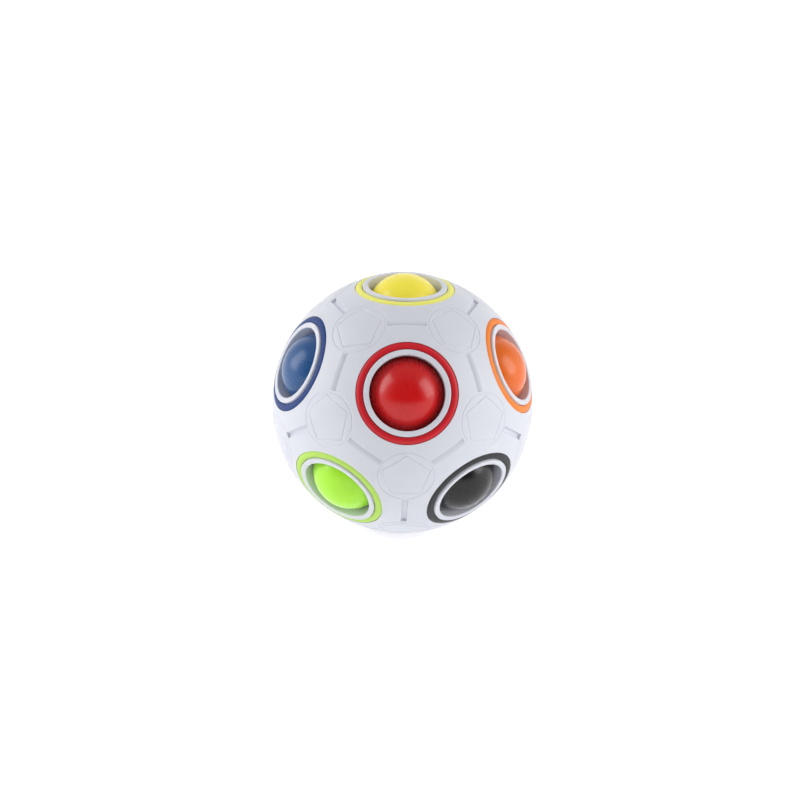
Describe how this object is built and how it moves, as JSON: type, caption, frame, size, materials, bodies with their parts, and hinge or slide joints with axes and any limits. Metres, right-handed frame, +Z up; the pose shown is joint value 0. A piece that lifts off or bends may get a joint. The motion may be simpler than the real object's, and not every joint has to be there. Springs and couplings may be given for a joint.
{
  "type": "puzzle ball",
  "caption": "Hollow white sphere with collared round holes spaced evenly all round, each with a coloured ring and a coloured ball in it; one hole is empty so that balls can be moved.",
  "frame": {"origin": "centre of the empty hole, on the flat lip the ball rests on", "axes": "+Z up through the yellow hole, opposite the empty one; -Y toward the red hole, which is tipped up 26.6 degrees; +X to the right of someone who faces the red hole"},
  "size_m": [0.07, 0.07, 0.0696],
  "materials": {
    "shell_white": "satin",
    "core_rubber": "matte",
    "ring_yellow": "gloss",
    "ring_red": "gloss",
    "ring_orange": "gloss",
    "ring_green": "gloss",
    "ring_cyan": "gloss",
    "ring_blue": "gloss",
    "ring_black": "gloss",
    "ring_lime": "gloss",
    "ring_brown": "gloss",
    "ring_purple": "gloss",
    "ring_pink": "gloss",
    "ring_white": "gloss",
    "ball_yellow": "gloss",
    "ball_red": "gloss",
    "ball_orange": "gloss",
    "ball_green": "gloss",
    "ball_cyan": "gloss",
    "ball_blue": "gloss",
    "ball_black": "gloss",
    "ball_lime": "gloss",
    "ball_brown": "gloss",
    "ball_purple": "gloss",
    "ball_pink": "gloss"
  },
  "bodies": {
    "shell": {"front_shell": "shell_white", "rear_shell": "shell_white", "ring_yellow": "ring_yellow", "ring_red": "ring_red", "ring_orange": "ring_orange", "ring_green": "ring_green", "ring_cyan": "ring_cyan", "ring_blue": "ring_blue", "ring_black": "ring_black", "ring_lime": "ring_lime", "ring_brown": "ring_brown", "ring_purple": "ring_purple", "ring_pink": "ring_pink", "ring_white": "ring_white", "core": "core_rubber"},
    "ball_yellow": {"ball_yellow": "ball_yellow"},
    "ball_red": {"ball_red": "ball_red"},
    "ball_orange": {"ball_orange": "ball_orange"},
    "ball_green": {"ball_green": "ball_green"},
    "ball_cyan": {"ball_cyan": "ball_cyan"},
    "ball_blue": {"ball_blue": "ball_blue"},
    "ball_black": {"ball_black": "ball_black"},
    "ball_lime": {"ball_lime": "ball_lime"},
    "ball_brown": {"ball_brown": "ball_brown"},
    "ball_purple": {"ball_purple": "ball_purple"},
    "ball_pink": {"ball_pink": "ball_pink"}
  },
  "joints": [
    {"name": "push_yellow", "type": "slide", "parent": "shell", "child": "ball_yellow", "axis": [0, 0, 1], "range_m": [-0.0061, 0], "stiffness_N_per_m": 450, "springref_m": 0.001, "deforming": ["core"]},
    {"name": "push_red", "type": "slide", "parent": "shell", "child": "ball_red", "axis": [0, -0.8944, 0.4472], "range_m": [-0.0061, 0], "stiffness_N_per_m": 450, "springref_m": 0.001, "deforming": ["core"]},
    {"name": "push_orange", "type": "slide", "parent": "shell", "child": "ball_orange", "axis": [0.8507, -0.2764, 0.4472], "range_m": [-0.0061, 0], "stiffness_N_per_m": 450, "springref_m": 0.001, "deforming": ["core"]},
    {"name": "push_green", "type": "slide", "parent": "shell", "child": "ball_green", "axis": [0.5257, 0.7236, 0.4472], "range_m": [-0.0061, 0], "stiffness_N_per_m": 450, "springref_m": 0.001, "deforming": ["core"]},
    {"name": "push_cyan", "type": "slide", "parent": "shell", "child": "ball_cyan", "axis": [-0.5257, 0.7236, 0.4472], "range_m": [-0.0061, 0], "stiffness_N_per_m": 450, "springref_m": 0.001, "deforming": ["core"]},
    {"name": "push_blue", "type": "slide", "parent": "shell", "child": "ball_blue", "axis": [-0.8507, -0.2764, 0.4472], "range_m": [-0.0061, 0], "stiffness_N_per_m": 450, "springref_m": 0.001, "deforming": ["core"]},
    {"name": "push_black", "type": "slide", "parent": "shell", "child": "ball_black", "axis": [0.5257, -0.7236, -0.4472], "range_m": [-0.0061, 0], "stiffness_N_per_m": 450, "springref_m": 0.001, "deforming": ["core"]},
    {"name": "push_lime", "type": "slide", "parent": "shell", "child": "ball_lime", "axis": [-0.5257, -0.7236, -0.4472], "range_m": [-0.0061, 0], "stiffness_N_per_m": 450, "springref_m": 0.001, "deforming": ["core"]},
    {"name": "push_brown", "type": "slide", "parent": "shell", "child": "ball_brown", "axis": [0.8507, 0.2764, -0.4472], "range_m": [-0.0061, 0], "stiffness_N_per_m": 450, "springref_m": 0.001, "deforming": ["core"]},
    {"name": "push_pink", "type": "slide", "parent": "shell", "child": "ball_pink", "axis": [-0.8507, 0.2764, -0.4472], "range_m": [-0.0061, 0], "stiffness_N_per_m": 450, "springref_m": 0.001, "deforming": ["core"]},
    {"name": "transfer_purple", "type": "hinge", "parent": "shell", "child": "ball_purple", "pos_m": [0, 0.01619, 0.0072], "axis": [1, 0, 0], "range_deg": [0, 116.57], "deforming": ["core"]}
  ]
}
